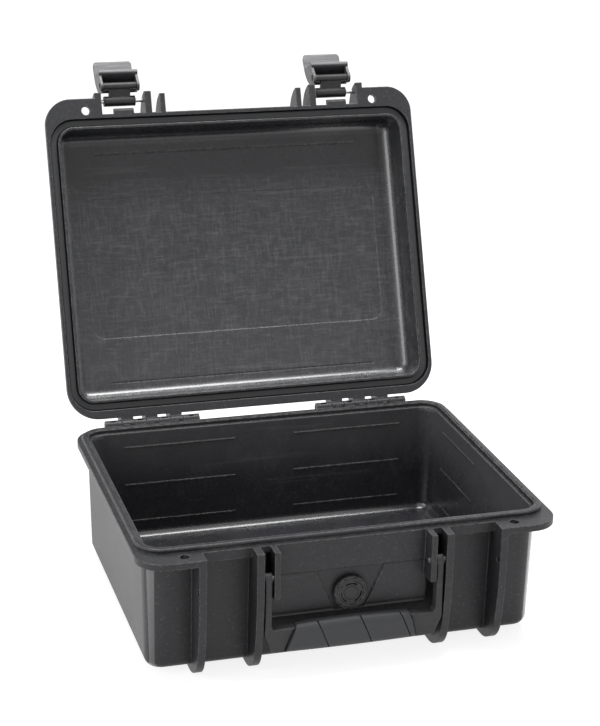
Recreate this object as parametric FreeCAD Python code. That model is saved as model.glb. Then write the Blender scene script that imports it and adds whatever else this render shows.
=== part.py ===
import FreeCAD, Part
import math
import os
from FreeCAD import Vector as V

# Waterproof hard case, shown open. Frame in mm: X right, Y back, Z up, and the origin is
# under the middle of the flange, on the surface that the case stands on.
# Lengths along Y are given from the front of the padlock tabs, heights from the parting plane.

# Base shell
case_width = 398.6        # flange, side to side
case_depth = 332.5        # padlock tabs to the flange's back edge
base_height = 125.6       # parting plane above the ground
foot_height = 6.1         # the pads and the long ribs stand this far below the floor
wall = 4.2
floor_thickness = 4.2
base_draft = 3.0          # how far each wall leans in, top to bottom
bottom_radius = 8.0
inner_radius = 8.0        # floor fillet inside the base
flange_thickness = 6.0
foot_beside = 12.85       # each pad's inner side, outside the middle of the inner rib
foot_width = 25.0
foot_front_y = 47.7
foot_behind = 33.5        # rear pads' back end to the flange's back edge
foot_length = 34.0
stiffener_height = 0.6    # thin raised lines inside the walls
stiffener_width = 1.3
stiffener_levels = (-16.0, -57.0, -97.5)
stiffener_start = 31.5    # back wall, from the middle
stiffener_inset = 50.3    # their outer ends to the flange's side
side_line_behind = 57.5   # side walls, to the flange's back edge
side_line_length = 90.0
tab_corner = 27.0
back_corner = 33.0
tab_setback = 17.0        # flange between the outer ribs stands this far behind the tabs
padlock_bore = 9.0
padlock_inset = 43.1      # to the flange's side
padlock_y = 12.6

# Sealing ridge, and the ledge inside it
ridge_side = 3.9
ridge_front = 21.4
ridge_back = 9.3
ridge_width = 7.3
ridge_height = 4.8
ridge_chamfer = 1.2       # its outer top edge
ridge_step = 0.8          # small step at its inner edge
ledge_width = 3.0
ridge_corner = 25.0

# Front ribs, the lips that the latches hook under, and the apron over the valve
rib_thickness = 7.0
rib_inset = 56.8          # middle of ribs 1 and 6 to the flange's side
rib_bay = 52.85           # from there to the middle of ribs 2 and 5
rib_slot = 15.45          # and on to ribs 3 and 4
rib_short_thickness = 5.4
rib_short_height = 46.0
rib_lean_start = 40.0     # below this the long ribs curve back
rib_lean = 5.5            # and how far by the toe
rib_toe = 27.0            # height of the toe's curve
rib_foot_back = 62.0      # back end of the foot that each long rib makes
rib_root = 22.0           # ribs and housing run this far behind the set-back front
lip_height = 9.6
apron_height = 30.0
housing_height = 76.0
housing_roll = 8.0        # its lower edge
housing_front = 18.6      # housing face behind the apron's
eye_bore = 6.6            # eye through each outer rib
eye_y = 5.6
eye_z = -33.0

# Lid shell
parting_gap = 0.3
lid_depth = 38.0          # inside depth
lid_wall = 4.0
lid_draft = 2.2
lid_inner_radius = 11.5
lid_outer_radius = 9.0
lid_open = 111.0          # how far the lid stands open at rest
rim_height = 12.6         # band over the gasket groove
rim_step = 3.0            # its wall outside the groove
rim_chamfer = 2.0
groove_gap = 0.45         # ridge to groove, each side
gasket_height = 3.0
gasket_chamfer = 1.1
gasket_gap = 0.3          # ridge to gasket with the lid closed
gasket_side_gap = 0.2
lid_rib_reach = 5.5       # lid ribs stand out past the tabs
lid_rib_height = 31.0
lid_rib_inner_reach = 2.6
panel_height = 1.4        # raised panels outside the lid
panel_gap = 14.0
panel_margin = 23.0
panel_corner = 12.0
panel_chamfer = 1.0
relief_depth = 0.5        # shallow panel and lines inside the lid
relief_inset = 39.3       # its side to the flange's side
relief_front = 101.0
relief_behind = 83.5      # its back end to the flange's back edge
relief_line_offset = 47.0
relief_line_inset = 15.0
relief_line_width = 1.4
lug_width = 21.0          # lug between the link's neck and the flange
lug_height = 5.0
lug_reach = 5.6
lug_chamfer = 2.0         # clears the cross bar under it

# Hinges
hinge_behind = 7.5        # hinge axis behind the flange
hinge_below = 1.3         # hinge axis under the parting plane
knuckle_radius = 5.2
hinge_pin_radius = 2.0
hinge_play = 0.06
hinge_inset = 35.7        # hinge's outer end to the flange's side
knuckle_end = 17.5
knuckle_base = 12.3
knuckle_lid = 13.4
knuckle_gap = 0.5
knuckle_slot = 2.4        # moulding slot in each base knuckle starts this far above the axis
gusset_height = 22.0      # thin gussets behind the lid's knuckles
gusset_thickness = 2.4
gusset_setback = 4.0      # their outer edge in front of the axis
pin_inset = 0.8           # hinge pin ends inside the outer knuckles

# Latches
latch_pin_y = 2.0
latch_pin_z = 14.0
latch_pin_radius = 2.0
latch_play = 0.06
link_barrel_radius = 5.4
link_barrel_width = 33.0
link_neck_width = 22.5
link_neck_thickness = 4.6
link_drop = 15.2          # link's cross bar under the lid pin
link_back = 6.3           # and behind it, with the latch closed
bar_chamfer = 0.6
cross_bar_radius = 3.8
cross_bar_width = 39.6
lever_width = 41.0
lever_wall = 2.6
lever_corner = 3.2
lever_reach = 43.5        # lever tip under the cross bar
hook_depth = 11.7         # hook edge behind the cross bar
hook_thickness = 6.2
hook_clearance = 0.4      # hook under the lip
link_open = 88.0
latch_slide_right = -2.2  # where each latch has slid to along its pin
latch_slide_left = -1.5
lever_open = 49.0

# Handle
handle_pivot_y = 6.6
handle_pivot_z = -27.0
handle_pin_radius = 2.2
handle_play = 0.06
handle_arm_gap = 8.15     # arm's middle to the middle of the inner rib
handle_arm_width = 6.5
handle_arm_depth = 10.0
handle_corner = 9.5       # corner's run under the arm
handle_drop = 61.8        # grip's middle under the pivot
grip_height = 25.0
grip_swell = 4.4          # extra height halfway along
grip_swell_up = 1.2       # and its middle that much higher
grip_depth = 16.5
grip_round = 7.4
grip_seam = 0.5           # between the grip and each cheek
groove_width = 0.9        # slanted grooves across the grip
groove_depth = 0.6
groove_places = (-34.0, 7.0, 45.0)
groove_slant = 22.0
grip_left_gap = 20.0      # grip's ends to the middle of each arm
grip_right_gap = 24.5
grip_left_slant = 5.0     # the grip's ends lean out downwards
grip_right_slant = 3.0
core_height = 15.0
core_depth = 8.6

# Pressure valve
valve_z = -54.8
valve_radius = 16.3
valve_chamfer = 1.2
valve_recess = 1.6        # shallow tapering recess around the valve
recess_top_x = 33.5       # its half-width under the apron
recess_slope = 0.456      # taper of each side
valve_rise = 6.4          # ring's face in front of the recess floor
valve_bore = 17.0
valve_thread_play = 0.3
valve_seal_thickness = 1.6
valve_stem = 9.0          # thread behind the inner wall
nut_width = 21.5          # across flats
nut_thickness = 5.0

# Places that follow from the sizes
half_width = case_width / 2
padlock_x = half_width - padlock_inset
rib_outer_x = half_width - rib_inset
rib_inner_x = rib_outer_x - rib_bay
rib_short_x = rib_inner_x - rib_slot
latch_bay_x = (rib_outer_x + rib_inner_x) / 2
handle_arm_x = rib_inner_x - handle_arm_gap
grip_left = grip_left_gap - handle_arm_x
grip_right = handle_arm_x - grip_right_gap
hinge_inner_x = half_width - hinge_inset - 2 * (knuckle_end + knuckle_base) - 3 * knuckle_lid
hinge_y = case_depth + hinge_behind
hinge_z = -hinge_below
opening_inset = ridge_width + ledge_width
groove_depth = ridge_height + gasket_gap + gasket_height - parting_gap
cross_bar_y = latch_pin_y + link_back
cross_bar_z = latch_pin_z - link_drop
latch_pin_end = rib_outer_x + rib_thickness * 0.2
handle_pin_end = rib_inner_x - 0.5


def at(x, y, z):
    # Measured place to the part's frame
    return V(x, y - case_depth / 2, z + base_height)


def line(a, b):
    return Part.LineSegment(a, b).toShape()


def arc(a, b, c):
    return Part.Arc(a, b, c).toShape()


def outline(x0, x1, y0, y1, r_front, r_back, z):
    # Rounded rectangle, its front and back corners with their own radii
    rf, rb = r_front, r_back
    c = 1 - math.sqrt(0.5)
    return Part.Wire([
        line(at(x0 + rf, y0, z), at(x1 - rf, y0, z)),
        arc(at(x1 - rf, y0, z), at(x1 - rf * c, y0 + rf * c, z), at(x1, y0 + rf, z)),
        line(at(x1, y0 + rf, z), at(x1, y1 - rb, z)),
        arc(at(x1, y1 - rb, z), at(x1 - rb * c, y1 - rb * c, z), at(x1 - rb, y1, z)),
        line(at(x1 - rb, y1, z), at(x0 + rb, y1, z)),
        arc(at(x0 + rb, y1, z), at(x0 + rb * c, y1 - rb * c, z), at(x0, y1 - rb, z)),
        line(at(x0, y1 - rb, z), at(x0, y0 + rf, z)),
        arc(at(x0, y0 + rf, z), at(x0 + rf * c, y0 + rf * c, z), at(x0 + rf, y0, z)),
    ])


def ridge_outline(inset, z):
    # The ridge's outer foot, moved inwards by the inset; every seal and opening follows it
    half = half_width - ridge_side - inset
    r = max(ridge_corner - inset, 3.0)
    return outline(-half, half, ridge_front + inset, case_depth - ridge_back - inset, r, r, z)


def slab(wire, height):
    return Part.Face(wire).extrude(V(0, 0, height))


def ring(inset, width, z, height):
    return slab(ridge_outline(inset, z), height).cut(slab(ridge_outline(inset + width, z), height))


def tray(inset, z_wide, z_narrow, draft):
    # Drafted block between two outlines
    return Part.makeLoft([ridge_outline(inset, z_wide), ridge_outline(inset + draft, z_narrow)], True, True)


def block(x0, x1, y0, y1, z0, z1):
    x0, x1 = min(x0, x1), max(x0, x1)
    return Part.makeBox(x1 - x0, y1 - y0, z1 - z0, at(x0, y0, z0))


def rod(radius, x0, x1, y, z):
    x0, x1 = min(x0, x1), max(x0, x1)
    return Part.makeCylinder(radius, x1 - x0, at(x0, y, z), V(1, 0, 0))


def side_profile(points, x0, x1):
    # Closed side outline of (y, z) points, carried across from x0 to x1
    pts = [at(x0, y, z) for y, z in points]
    return Part.Face(Part.makePolygon(pts + [pts[0]])).extrude(V(x1 - x0, 0, 0))


def edges_near(shape, test):
    return [e for e in shape.Edges if test(e.BoundBox)]


def level_edges(shape, z, height=0.05):
    zz = z + base_height
    return edges_near(shape, lambda b: abs(b.ZMin - zz) < height and abs(b.ZMax - zz) < height)


def turned(shape, y, z, degrees):
    s = shape.copy()
    s.rotate(at(0, y, z), V(1, 0, 0), degrees)
    return s


def on_open_lid(shape):
    return turned(shape, hinge_y, hinge_z, -lid_open)


def mirrored(shape):
    return shape.mirror(V(0, 0, 0), V(1, 0, 0))


def moved(shape, dx):
    s = shape.copy()
    s.translate(V(dx, 0, 0))
    return s


def flange_plate(z, thickness):
    half = half_width
    plate = slab(outline(-half, half, 0, case_depth, tab_corner, back_corner, z), thickness)
    inner = rib_outer_x - rib_thickness / 2 + 1.0
    plate = plate.cut(block(-inner, inner, -1, tab_setback, z - 1, z + thickness + 1))
    for x in (-padlock_x, padlock_x):
        plate = plate.cut(Part.makeCylinder(padlock_bore / 2, thickness + 2, at(x, padlock_y, z - 1)))
    return plate


def long_rib(x):
    # Full-height rib; its front edge curves back into a rounded toe, and the foot runs on under the floor
    x0 = x - rib_thickness / 2
    root = tab_setback + rib_root
    toe_z = -base_height + rib_toe
    foot_top = -base_height + foot_height + floor_thickness / 2
    drop = -rib_lean_start - toe_z
    lean = 2 * math.atan2(rib_lean, drop)
    front_radius = drop / math.sin(lean)
    toe_radius = rib_toe / (1 - math.sin(lean))
    toe_y = rib_lean + toe_radius * math.cos(lean)

    def front_point(a):
        return at(x0, front_radius * (1 - math.cos(a)), -rib_lean_start - front_radius * math.sin(a))

    def toe_point(a):
        return at(x0, toe_y - toe_radius * math.cos(a), -base_height + toe_radius * (1 - math.sin(a)))

    wire = Part.Wire([
        line(at(x0, root, 0), at(x0, 0, 0)),
        line(at(x0, 0, 0), at(x0, 0, -rib_lean_start)),
        arc(at(x0, 0, -rib_lean_start), front_point(lean / 2), front_point(lean)),
        arc(front_point(lean), toe_point((lean + math.pi / 2) / 2), toe_point(math.pi / 2)),
        line(toe_point(math.pi / 2), at(x0, rib_foot_back, -base_height)),
        line(at(x0, rib_foot_back, -base_height), at(x0, rib_foot_back, foot_top)),
        line(at(x0, rib_foot_back, foot_top), at(x0, root, foot_top)),
        line(at(x0, root, foot_top), at(x0, root, 0)),
    ])
    return Part.Face(wire).extrude(V(rib_thickness, 0, 0))


def short_rib(x):
    x0, x1 = x - rib_short_thickness / 2, x + rib_short_thickness / 2
    root = tab_setback + 10
    return side_profile([(0, 0), (root, 0), (root, -rib_short_height - 6), (tab_setback, -rib_short_height),
                         (0, -rib_short_height)], x0, x1)


def front_housing():
    # Apron, and the valve housing under it that rolls back to the wall at its lower edge
    half = rib_short_x
    root = tab_setback + rib_root - 6
    apron = block(-half, half, tab_setback, root, -apron_height, 0)
    low = -housing_height
    r = housing_roll
    c = 1 - math.sqrt(0.5)
    y0 = housing_front
    top = -apron_height + 2
    wire = Part.Wire([
        line(at(-half, y0, top), at(-half, y0, low + r)),
        arc(at(-half, y0, low + r), at(-half, y0 + r * c, low + r * c), at(-half, y0 + r, low)),
        line(at(-half, y0 + r, low), at(-half, root, low)),
        line(at(-half, root, low), at(-half, root, top)),
        line(at(-half, root, top), at(-half, y0, top)),
    ])
    return apron.fuse(Part.Face(wire).extrude(V(2 * half, 0, 0)))


def valve_recess_cut():
    # Tapering recess from the apron down to the housing's lower edge
    top, low = -apron_height, -housing_height - 1
    low_x = recess_top_x - (top - low) * recess_slope
    y0 = housing_front - 1
    pts = [at(-recess_top_x, y0, top), at(recess_top_x, y0, top), at(low_x, y0, low), at(-low_x, y0, low)]
    return Part.Face(Part.makePolygon(pts + [pts[0]])).extrude(V(0, 1 + valve_recess, 0))


def valve_rod(radius, y_front, y_back):
    return Part.makeCylinder(radius, y_back - y_front, at(0, y_front, valve_z), V(0, 1, 0))


def knuckle_spans():
    # Base and lid knuckles of the right-hand hinge, from its inner end outwards
    x = hinge_inner_x
    spans = ([], [])
    widths = [knuckle_end, knuckle_lid, knuckle_base, knuckle_lid, knuckle_base, knuckle_lid, knuckle_end]
    for i, width in enumerate(widths):
        spans[i % 2].append((x + knuckle_gap / 2, x + width - knuckle_gap / 2))
        x += width
    return spans


def base_knuckle(x0, x1):
    barrel = rod(knuckle_radius, x0, x1, hinge_y, hinge_z)
    top = -parting_gap
    web = side_profile([(case_depth - 3, -flange_thickness), (case_depth - 3, top), (hinge_y, top),
                        (hinge_y, hinge_z - knuckle_radius)], x0, x1)
    slot = block((x0 + x1) / 2 - 3.0, (x0 + x1) / 2 + 3.0, hinge_y - 2.4, hinge_y + 0.8,
                 hinge_z + knuckle_slot, hinge_z + knuckle_radius + 1)
    bore = rod(hinge_pin_radius + hinge_play, x0 - 1, x1 + 1, hinge_y, hinge_z)
    return barrel.fuse(web).cut(slot).cut(bore)


def lid_knuckle(x0, x1):
    # Closed position; a cored window shows the pin from inside, and a gusset stands on each side behind
    barrel = rod(knuckle_radius, x0, x1, hinge_y, hinge_z)
    top = parting_gap + flange_thickness
    reach = knuckle_radius * 0.7
    web = side_profile([(case_depth - 3, top), (case_depth - 3, parting_gap),
                        (hinge_y - knuckle_radius + 0.4, parting_gap), (hinge_y, hinge_z),
                        (hinge_y + reach, hinge_z + reach), (hinge_y + 1.0, top)], x0, x1)
    window = block(x1 - 1.0 - (x1 - x0) * 0.62, x1 - 1.0, hinge_y - 0.5, hinge_y + knuckle_radius - 1.4,
                   hinge_z - knuckle_radius - 1, hinge_z)
    root = case_depth - ridge_back - opening_inset + 1.0
    edge = hinge_y - gusset_setback
    gussets = [side_profile([(root, top - 1), (root, gusset_height), (case_depth - 2, gusset_height),
                             (edge, gusset_height - 4), (edge, top - 1)], x, x + gusset_thickness)
               for x in (x0, x1 - gusset_thickness)]
    bore = rod(hinge_pin_radius + hinge_play, x0 - 1, x1 + 1, hinge_y, hinge_z)
    return barrel.multiFuse([web] + gussets).cut(window).cut(bore)


def inner_wall_lean(z):
    # How far the inner wall has leant in at this level
    floor = -base_height + foot_height + floor_thickness
    return base_draft * z / floor


def stiffeners():
    # Thin raised lines along the inside of the back and side walls
    lines = []
    root = 1.0
    for z in stiffener_levels:
        z0, z1 = z - stiffener_width / 2, z + stiffener_width / 2
        lean = inner_wall_lean(z)
        y_wall = case_depth - ridge_back - opening_inset - lean
        x_wall = half_width - ridge_side - opening_inset - lean
        side_back = case_depth - side_line_behind
        for s in (-1, 1):
            lines.append(block(s * stiffener_start, s * (half_width - stiffener_inset),
                               y_wall - stiffener_height, y_wall + root, z0, z1))
            lines.append(block(s * (x_wall - stiffener_height), s * (x_wall + root),
                               side_back - side_line_length, side_back, z0, z1))
    return lines


def sealing_ridge():
    # Softened on its outer top edge, with a small step at the inner edge
    ridge = ring(0, ridge_width, 0, ridge_height)
    step_at = ridge_width * 0.75
    ridge = ridge.cut(ring(step_at, ridge_width, ridge_height - ridge_step, ridge_step + 1))
    front = at(0, ridge_front + 0.5, 0).y
    back = at(0, case_depth - ridge_back - 0.5, 0).y
    side = half_width - ridge_side - 0.5
    outer = [e for e in level_edges(ridge, ridge_height)
             if e.BoundBox.XMax > side or e.BoundBox.XMin < -side
             or e.BoundBox.YMin < front or e.BoundBox.YMax > back]
    return ridge.makeChamfer(ridge_chamfer, outer)


def base_shell():
    low = -base_height + foot_height
    body = tray(opening_inset - wall, 0, low, base_draft)
    body = body.makeFillet(bottom_radius, level_edges(body, low))
    pieces = [flange_plate(-flange_thickness, flange_thickness), front_housing(), sealing_ridge()]
    for side in (-1, 1):
        pieces.append(block(side * rib_inner_x, side * rib_outer_x, tab_setback, tab_setback + rib_root - 6,
                            -lip_height, 0))
        for x in (rib_outer_x, rib_inner_x):
            pieces.append(long_rib(side * x))
        pieces.append(short_rib(side * rib_short_x))
        foot_x = rib_inner_x + foot_beside
        for y0 in (foot_front_y, case_depth - foot_behind - foot_length):
            pieces.append(block(side * foot_x, side * (foot_x + foot_width), y0, y0 + foot_length,
                                -base_height, low + floor_thickness / 2))
    for x0, x1 in knuckle_spans()[0]:
        knuckle = base_knuckle(x0, x1)
        pieces += [knuckle, mirrored(knuckle)]
    shell = body.multiFuse(pieces)
    floor = low + floor_thickness
    cavity = tray(opening_inset, 0, floor, base_draft)
    cavity = cavity.makeFillet(inner_radius, level_edges(cavity, floor))
    shell = shell.cut(cavity)
    shell = shell.cut(slab(ridge_outline(ridge_width, 0), ridge_height + 1))
    shell = shell.fuse(stiffeners())
    for side in (-1, 1):
        x = side * rib_outer_x
        shell = shell.cut(rod(eye_bore / 2, x - rib_thickness, x + rib_thickness, eye_y, eye_z))
        shell = shell.cut(rod(handle_pin_radius + handle_play, side * (rib_short_x - rib_short_thickness),
                              side * handle_pin_end, handle_pivot_y, handle_pivot_z))
    shell = shell.cut(valve_recess_cut())
    inner_wall = ridge_front + opening_inset + inner_wall_lean(valve_z)
    shell = shell.cut(valve_rod(valve_bore / 2 + valve_thread_play, housing_front, inner_wall + 1))
    return shell.removeSplitter()


def lid_rib(x, thickness, reach):
    # Quarter-round rib on the lid's front
    x0 = x - thickness / 2
    z0 = parting_gap
    top = z0 + lid_rib_height
    root = tab_setback + 14
    crest = tab_setback + 2.5
    wire = Part.Wire([
        line(at(x0, root, z0), at(x0, -reach, z0)),
        line(at(x0, -reach, z0), at(x0, -reach, z0 + 2.5)),
        arc(at(x0, -reach, z0 + 2.5), at(x0, -reach + 7.0, z0 + 19.0), at(x0, crest, top)),
        line(at(x0, crest, top), at(x0, root, top)),
        line(at(x0, root, top), at(x0, root, z0)),
    ])
    return Part.Face(wire).extrude(V(thickness, 0, 0))


def latch_lug(x, z0):
    # Lug on the flange's edge behind the link's neck
    front, top = tab_setback - lug_reach, z0 + lug_height
    outline = [(front, z0 + lug_chamfer), (front, top), (tab_setback + 4, top),
               (tab_setback + 4, z0), (front + lug_chamfer, z0)]
    return side_profile(outline, x - lug_width / 2, x + lug_width / 2)


def lid_panels(top):
    # Three raised panels across the outside of the lid
    inset = opening_inset - lid_wall + lid_draft + panel_margin
    half = half_width - ridge_side - inset
    y0 = ridge_front + inset
    y1 = case_depth - ridge_back - inset
    length = (y1 - y0 - 2 * panel_gap) / 3
    panels = []
    for i in range(3):
        y = y0 + i * (length + panel_gap)
        panel = slab(outline(-half, half, y, y + length, panel_corner, panel_corner, top - 1),
                     1 + panel_height)
        panels.append(panel.makeChamfer(panel_chamfer, level_edges(panel, top + panel_height)))
    return panels


def lid_relief(floor):
    # Inside the lid: one shallow panel, and a shallow line on each side of it
    half = half_width - relief_inset
    back = case_depth - relief_behind
    panel = slab(outline(-half, half, relief_front, back, panel_corner, panel_corner, floor - 1),
                 1 + relief_depth)
    line_half = half - relief_line_inset
    lines = []
    for y in (relief_front - relief_line_offset, back + relief_line_offset):
        lines.append(block(-line_half, line_half, y - relief_line_width / 2, y + relief_line_width / 2,
                           floor - 1, floor + relief_depth))
    return [panel] + lines


def lid_shell():
    z0 = parting_gap
    top = z0 + lid_depth + lid_wall
    body = tray(opening_inset - lid_wall, z0, top, lid_draft)
    body = body.makeFillet(lid_outer_radius, level_edges(body, top))
    rim = slab(ridge_outline(-rim_step, z0), rim_height)
    rim = rim.makeChamfer(rim_chamfer, level_edges(rim, z0 + rim_height))
    pieces = [flange_plate(z0, flange_thickness), rim] + lid_panels(top)
    for side in (-1, 1):
        pieces.append(lid_rib(side * rib_outer_x, rib_thickness, lid_rib_reach))
        pieces.append(lid_rib(side * rib_inner_x, rib_thickness, lid_rib_reach))
        pieces.append(lid_rib(side * rib_short_x, rib_short_thickness, lid_rib_inner_reach))
        pieces.append(latch_lug(side * latch_bay_x, z0))
    for x0, x1 in knuckle_spans()[1]:
        knuckle = lid_knuckle(x0, x1)
        pieces += [knuckle, mirrored(knuckle)]
    shell = body.multiFuse(pieces)
    cavity = tray(opening_inset, z0 - 1, z0 + lid_depth, lid_draft)
    cavity = cavity.makeFillet(lid_inner_radius, level_edges(cavity, z0 + lid_depth))
    groove = ring(-groove_gap, ridge_width + 2 * groove_gap, z0 - 1, 1 + groove_depth)
    shell = shell.cut([cavity, groove] + lid_relief(z0 + lid_depth))
    for side in (-1, 1):
        shell = shell.cut(rod(latch_pin_radius + latch_play, side * (rib_inner_x - rib_thickness),
                              side * latch_pin_end, latch_pin_y, latch_pin_z))
    return shell.removeSplitter()


def lid_gasket():
    # Strip that fills the bottom of the lid's groove
    top = parting_gap + groove_depth
    inset = gasket_side_gap - groove_gap
    strip = ring(inset, ridge_width - 2 * inset, top - gasket_height, gasket_height)
    return strip.makeChamfer(gasket_chamfer, level_edges(strip, top - gasket_height))


def hinge_pin():
    base, _ = knuckle_spans()
    return rod(hinge_pin_radius, base[0][0] + pin_inset, base[-1][1] - pin_inset, hinge_y, hinge_z)


def latch_link():
    # Barrel on the lid pin, a neck, and the cross bar that the lever turns on
    x = latch_bay_x
    half = link_barrel_width / 2
    barrel = rod(link_barrel_radius, x - half, x + half, latch_pin_y, latch_pin_z)
    bar = rod(cross_bar_radius, x - cross_bar_width / 2, x + cross_bar_width / 2, cross_bar_y, cross_bar_z)
    bar = bar.makeChamfer(bar_chamfer, edges_near(bar, lambda b: b.XLength < 0.01))
    length = math.hypot(link_back, link_drop)
    ny = link_neck_thickness / 2 * link_drop / length
    nz = link_neck_thickness / 2 * link_back / length
    neck = side_profile([(latch_pin_y + ny, latch_pin_z + nz), (cross_bar_y + ny, cross_bar_z + nz),
                         (cross_bar_y - ny, cross_bar_z - nz), (latch_pin_y - ny, latch_pin_z - nz)],
                        x - link_neck_width / 2, x + link_neck_width / 2)
    link = barrel.multiFuse([bar, neck])
    bore = rod(latch_pin_radius + latch_play, x - lever_width, x + lever_width, latch_pin_y, latch_pin_z)
    return link.cut(bore).removeSplitter()


def lever_plate(x0, y2, z2):
    # Front plate, curved down to the finger tip
    tip_z = z2 - lever_reach

    def face(shift):
        return [at(x0, y2 - 11.5 + shift, z2 - 4.0), at(x0, y2 - 13.2 + shift, z2 - 16.0),
                at(x0, y2 - 9.0 + shift, z2 - 31.0), at(x0, y2 - 1.5 + shift, tip_z)]

    front, inside = face(0), face(lever_wall + 0.4)
    wire = Part.Wire([arc(front[0], front[1], front[2]), line(front[2], front[3]), line(front[3], inside[3]),
                      line(inside[3], inside[2]), arc(inside[2], inside[1], inside[0]),
                      line(inside[0], front[0])])
    return Part.Face(wire).extrude(V(lever_width, 0, 0))


def lever_cheek(x0, y2, z2, hook_y, hook_top):
    # Side wall: bearing eye round the cross bar, and down to the hook
    lobe = cross_bar_radius + 2.2
    nose = hook_y - hook_thickness / 2
    start = at(x0, y2 - 10.5, z2 - 4.0)
    crown = at(x0, y2 - 3.0, z2 + lobe - 0.8)
    heel = at(x0, y2 + lobe * 0.96, z2 - lobe * 0.28)
    lip = at(x0, tab_setback - hook_clearance * 2, hook_top)
    corners = [heel, lip, at(x0, nose, hook_top), at(x0, nose, hook_top - hook_thickness),
               at(x0, y2 - 7.0, z2 - lever_reach + 14), at(x0, y2 - 12.5, z2 - 13.0), start]
    edges = [line(start, crown), arc(crown, at(x0, y2 + lobe * 0.8, z2 + lobe * 0.6), heel)]
    edges += [line(a, b) for a, b in zip(corners, corners[1:])]
    return Part.Face(Part.Wire(edges)).extrude(V(lever_wall, 0, 0))


def latch_lever():
    # Closed position: plate, two cheeks, and the hook web that reaches back under the base's lip
    x, y2, z2 = latch_bay_x, cross_bar_y, cross_bar_z
    x0, x1 = x - lever_width / 2, x + lever_width / 2
    hook_top = -lip_height - hook_clearance
    hook_y = y2 + hook_depth
    nose = hook_y - hook_thickness / 2
    cheek = lever_cheek(x0, y2, z2, hook_y, hook_top)
    web = block(x0, x1, y2 - 12.0, nose, hook_top - hook_thickness, hook_top)
    edge = rod(hook_thickness / 2, x0, x1, nose, hook_top - hook_thickness / 2)
    lever = lever_plate(x0, y2, z2).multiFuse([cheek, moved(cheek, lever_width - lever_wall), web, edge])
    lever = lever.cut(rod(cross_bar_radius + latch_play, x0 - 1, x1 + 1, y2, z2))
    tip = z2 - lever_reach
    for s in (-1, 1):
        side = x + s * lever_width / 2
        inner = side - s * lever_corner
        corner = block(side, inner, y2 - 30, y2 + 30, tip - 1, tip + lever_corner)
        keep = Part.makeCylinder(lever_corner, 60, at(inner, y2 - 30, tip + lever_corner), V(0, 1, 0))
        lever = lever.cut(corner.cut(keep))
    return lever.removeSplitter()


def latch_pin():
    x0 = rib_inner_x - rib_thickness / 2 + 0.5
    return rod(latch_pin_radius, x0, latch_pin_end - 0.3, latch_pin_y, latch_pin_z)


def latch_opened(shape, lever=False):
    s = turned(shape, cross_bar_y, cross_bar_z, -lever_open) if lever else shape
    return on_open_lid(turned(s, latch_pin_y, latch_pin_z, -link_open))


def handle_core():
    zc = handle_pivot_z - handle_drop
    y = handle_pivot_y
    return block(grip_left - 8, grip_right + 8, y - core_depth / 2, y + core_depth / 2,
                 zc - core_height / 2, zc + core_height / 2)


def handle_limb(side, end, slant):
    # One arm with its lower cheek, which ends at the slanting seam of the grip
    y0 = handle_pivot_y - handle_arm_depth / 2
    zp = handle_pivot_z
    zc = zp - handle_drop
    xo = handle_arm_x + handle_arm_width / 2
    xi = handle_arm_x - handle_arm_width / 2
    low, top = zc - grip_height / 2 + 0.6, zc + grip_height / 2 - 0.6
    g = abs(end)
    points = [(xo, zp), (xo, top - 6), (xo - handle_corner + 3, low + 2), (xo - handle_corner, low),
              (g + slant, low), (g - slant, top), (xi - 2.0, top - 0.6), (xi, top + 2.5), (xi, zp)]
    p = [at(side * px, y0, pz) for px, pz in points]
    limb = Part.Face(Part.makePolygon(p + [p[0]])).extrude(V(0, handle_arm_depth, 0))
    return limb.makeFillet(1.4, edges_near(limb, lambda b: b.YLength < 0.01))


def handle_frame():
    # Moulded bail: arms, curved-in corners and the core inside the grip
    parts = [handle_limb(-1, grip_left, grip_left_slant), handle_core()]
    for s in (-1, 1):
        x = s * handle_arm_x
        parts.append(rod(handle_arm_depth / 2, x - handle_arm_width / 2, x + handle_arm_width / 2,
                         handle_pivot_y, handle_pivot_z))
    frame = handle_limb(1, grip_right, grip_right_slant).multiFuse(parts)
    bore = rod(handle_pin_radius + handle_play, -case_width, case_width, handle_pivot_y, handle_pivot_z)
    frame = frame.cut(bore)
    return frame.removeSplitter()


def grip_body():
    # Sleeve that swells towards the middle, its long edges rounded in three flats
    zc = handle_pivot_z - handle_drop
    y0 = handle_pivot_y - grip_depth / 2
    middle = (grip_left + grip_right) / 2
    x0, x1 = grip_left - core_height, grip_right + core_height
    end, swell = grip_height / 2 - 0.4, grip_swell / 2
    top = [at(x0, y0, zc + end), at(middle, y0, zc + end + swell + grip_swell_up), at(x1, y0, zc + end)]
    low = [at(x1, y0, zc - end), at(middle, y0, zc - end - swell + grip_swell_up), at(x0, y0, zc - end)]
    wire = Part.Wire([arc(*top), line(top[2], low[0]), arc(*low), line(low[2], top[0])])
    sleeve = Part.Face(wire).extrude(V(0, grip_depth, 0))
    for cut in (grip_round * 0.586, grip_round * 0.215):
        sleeve = sleeve.makeChamfer(cut, edges_near(sleeve, lambda b: b.XLength > 10))
    return sleeve


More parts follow.
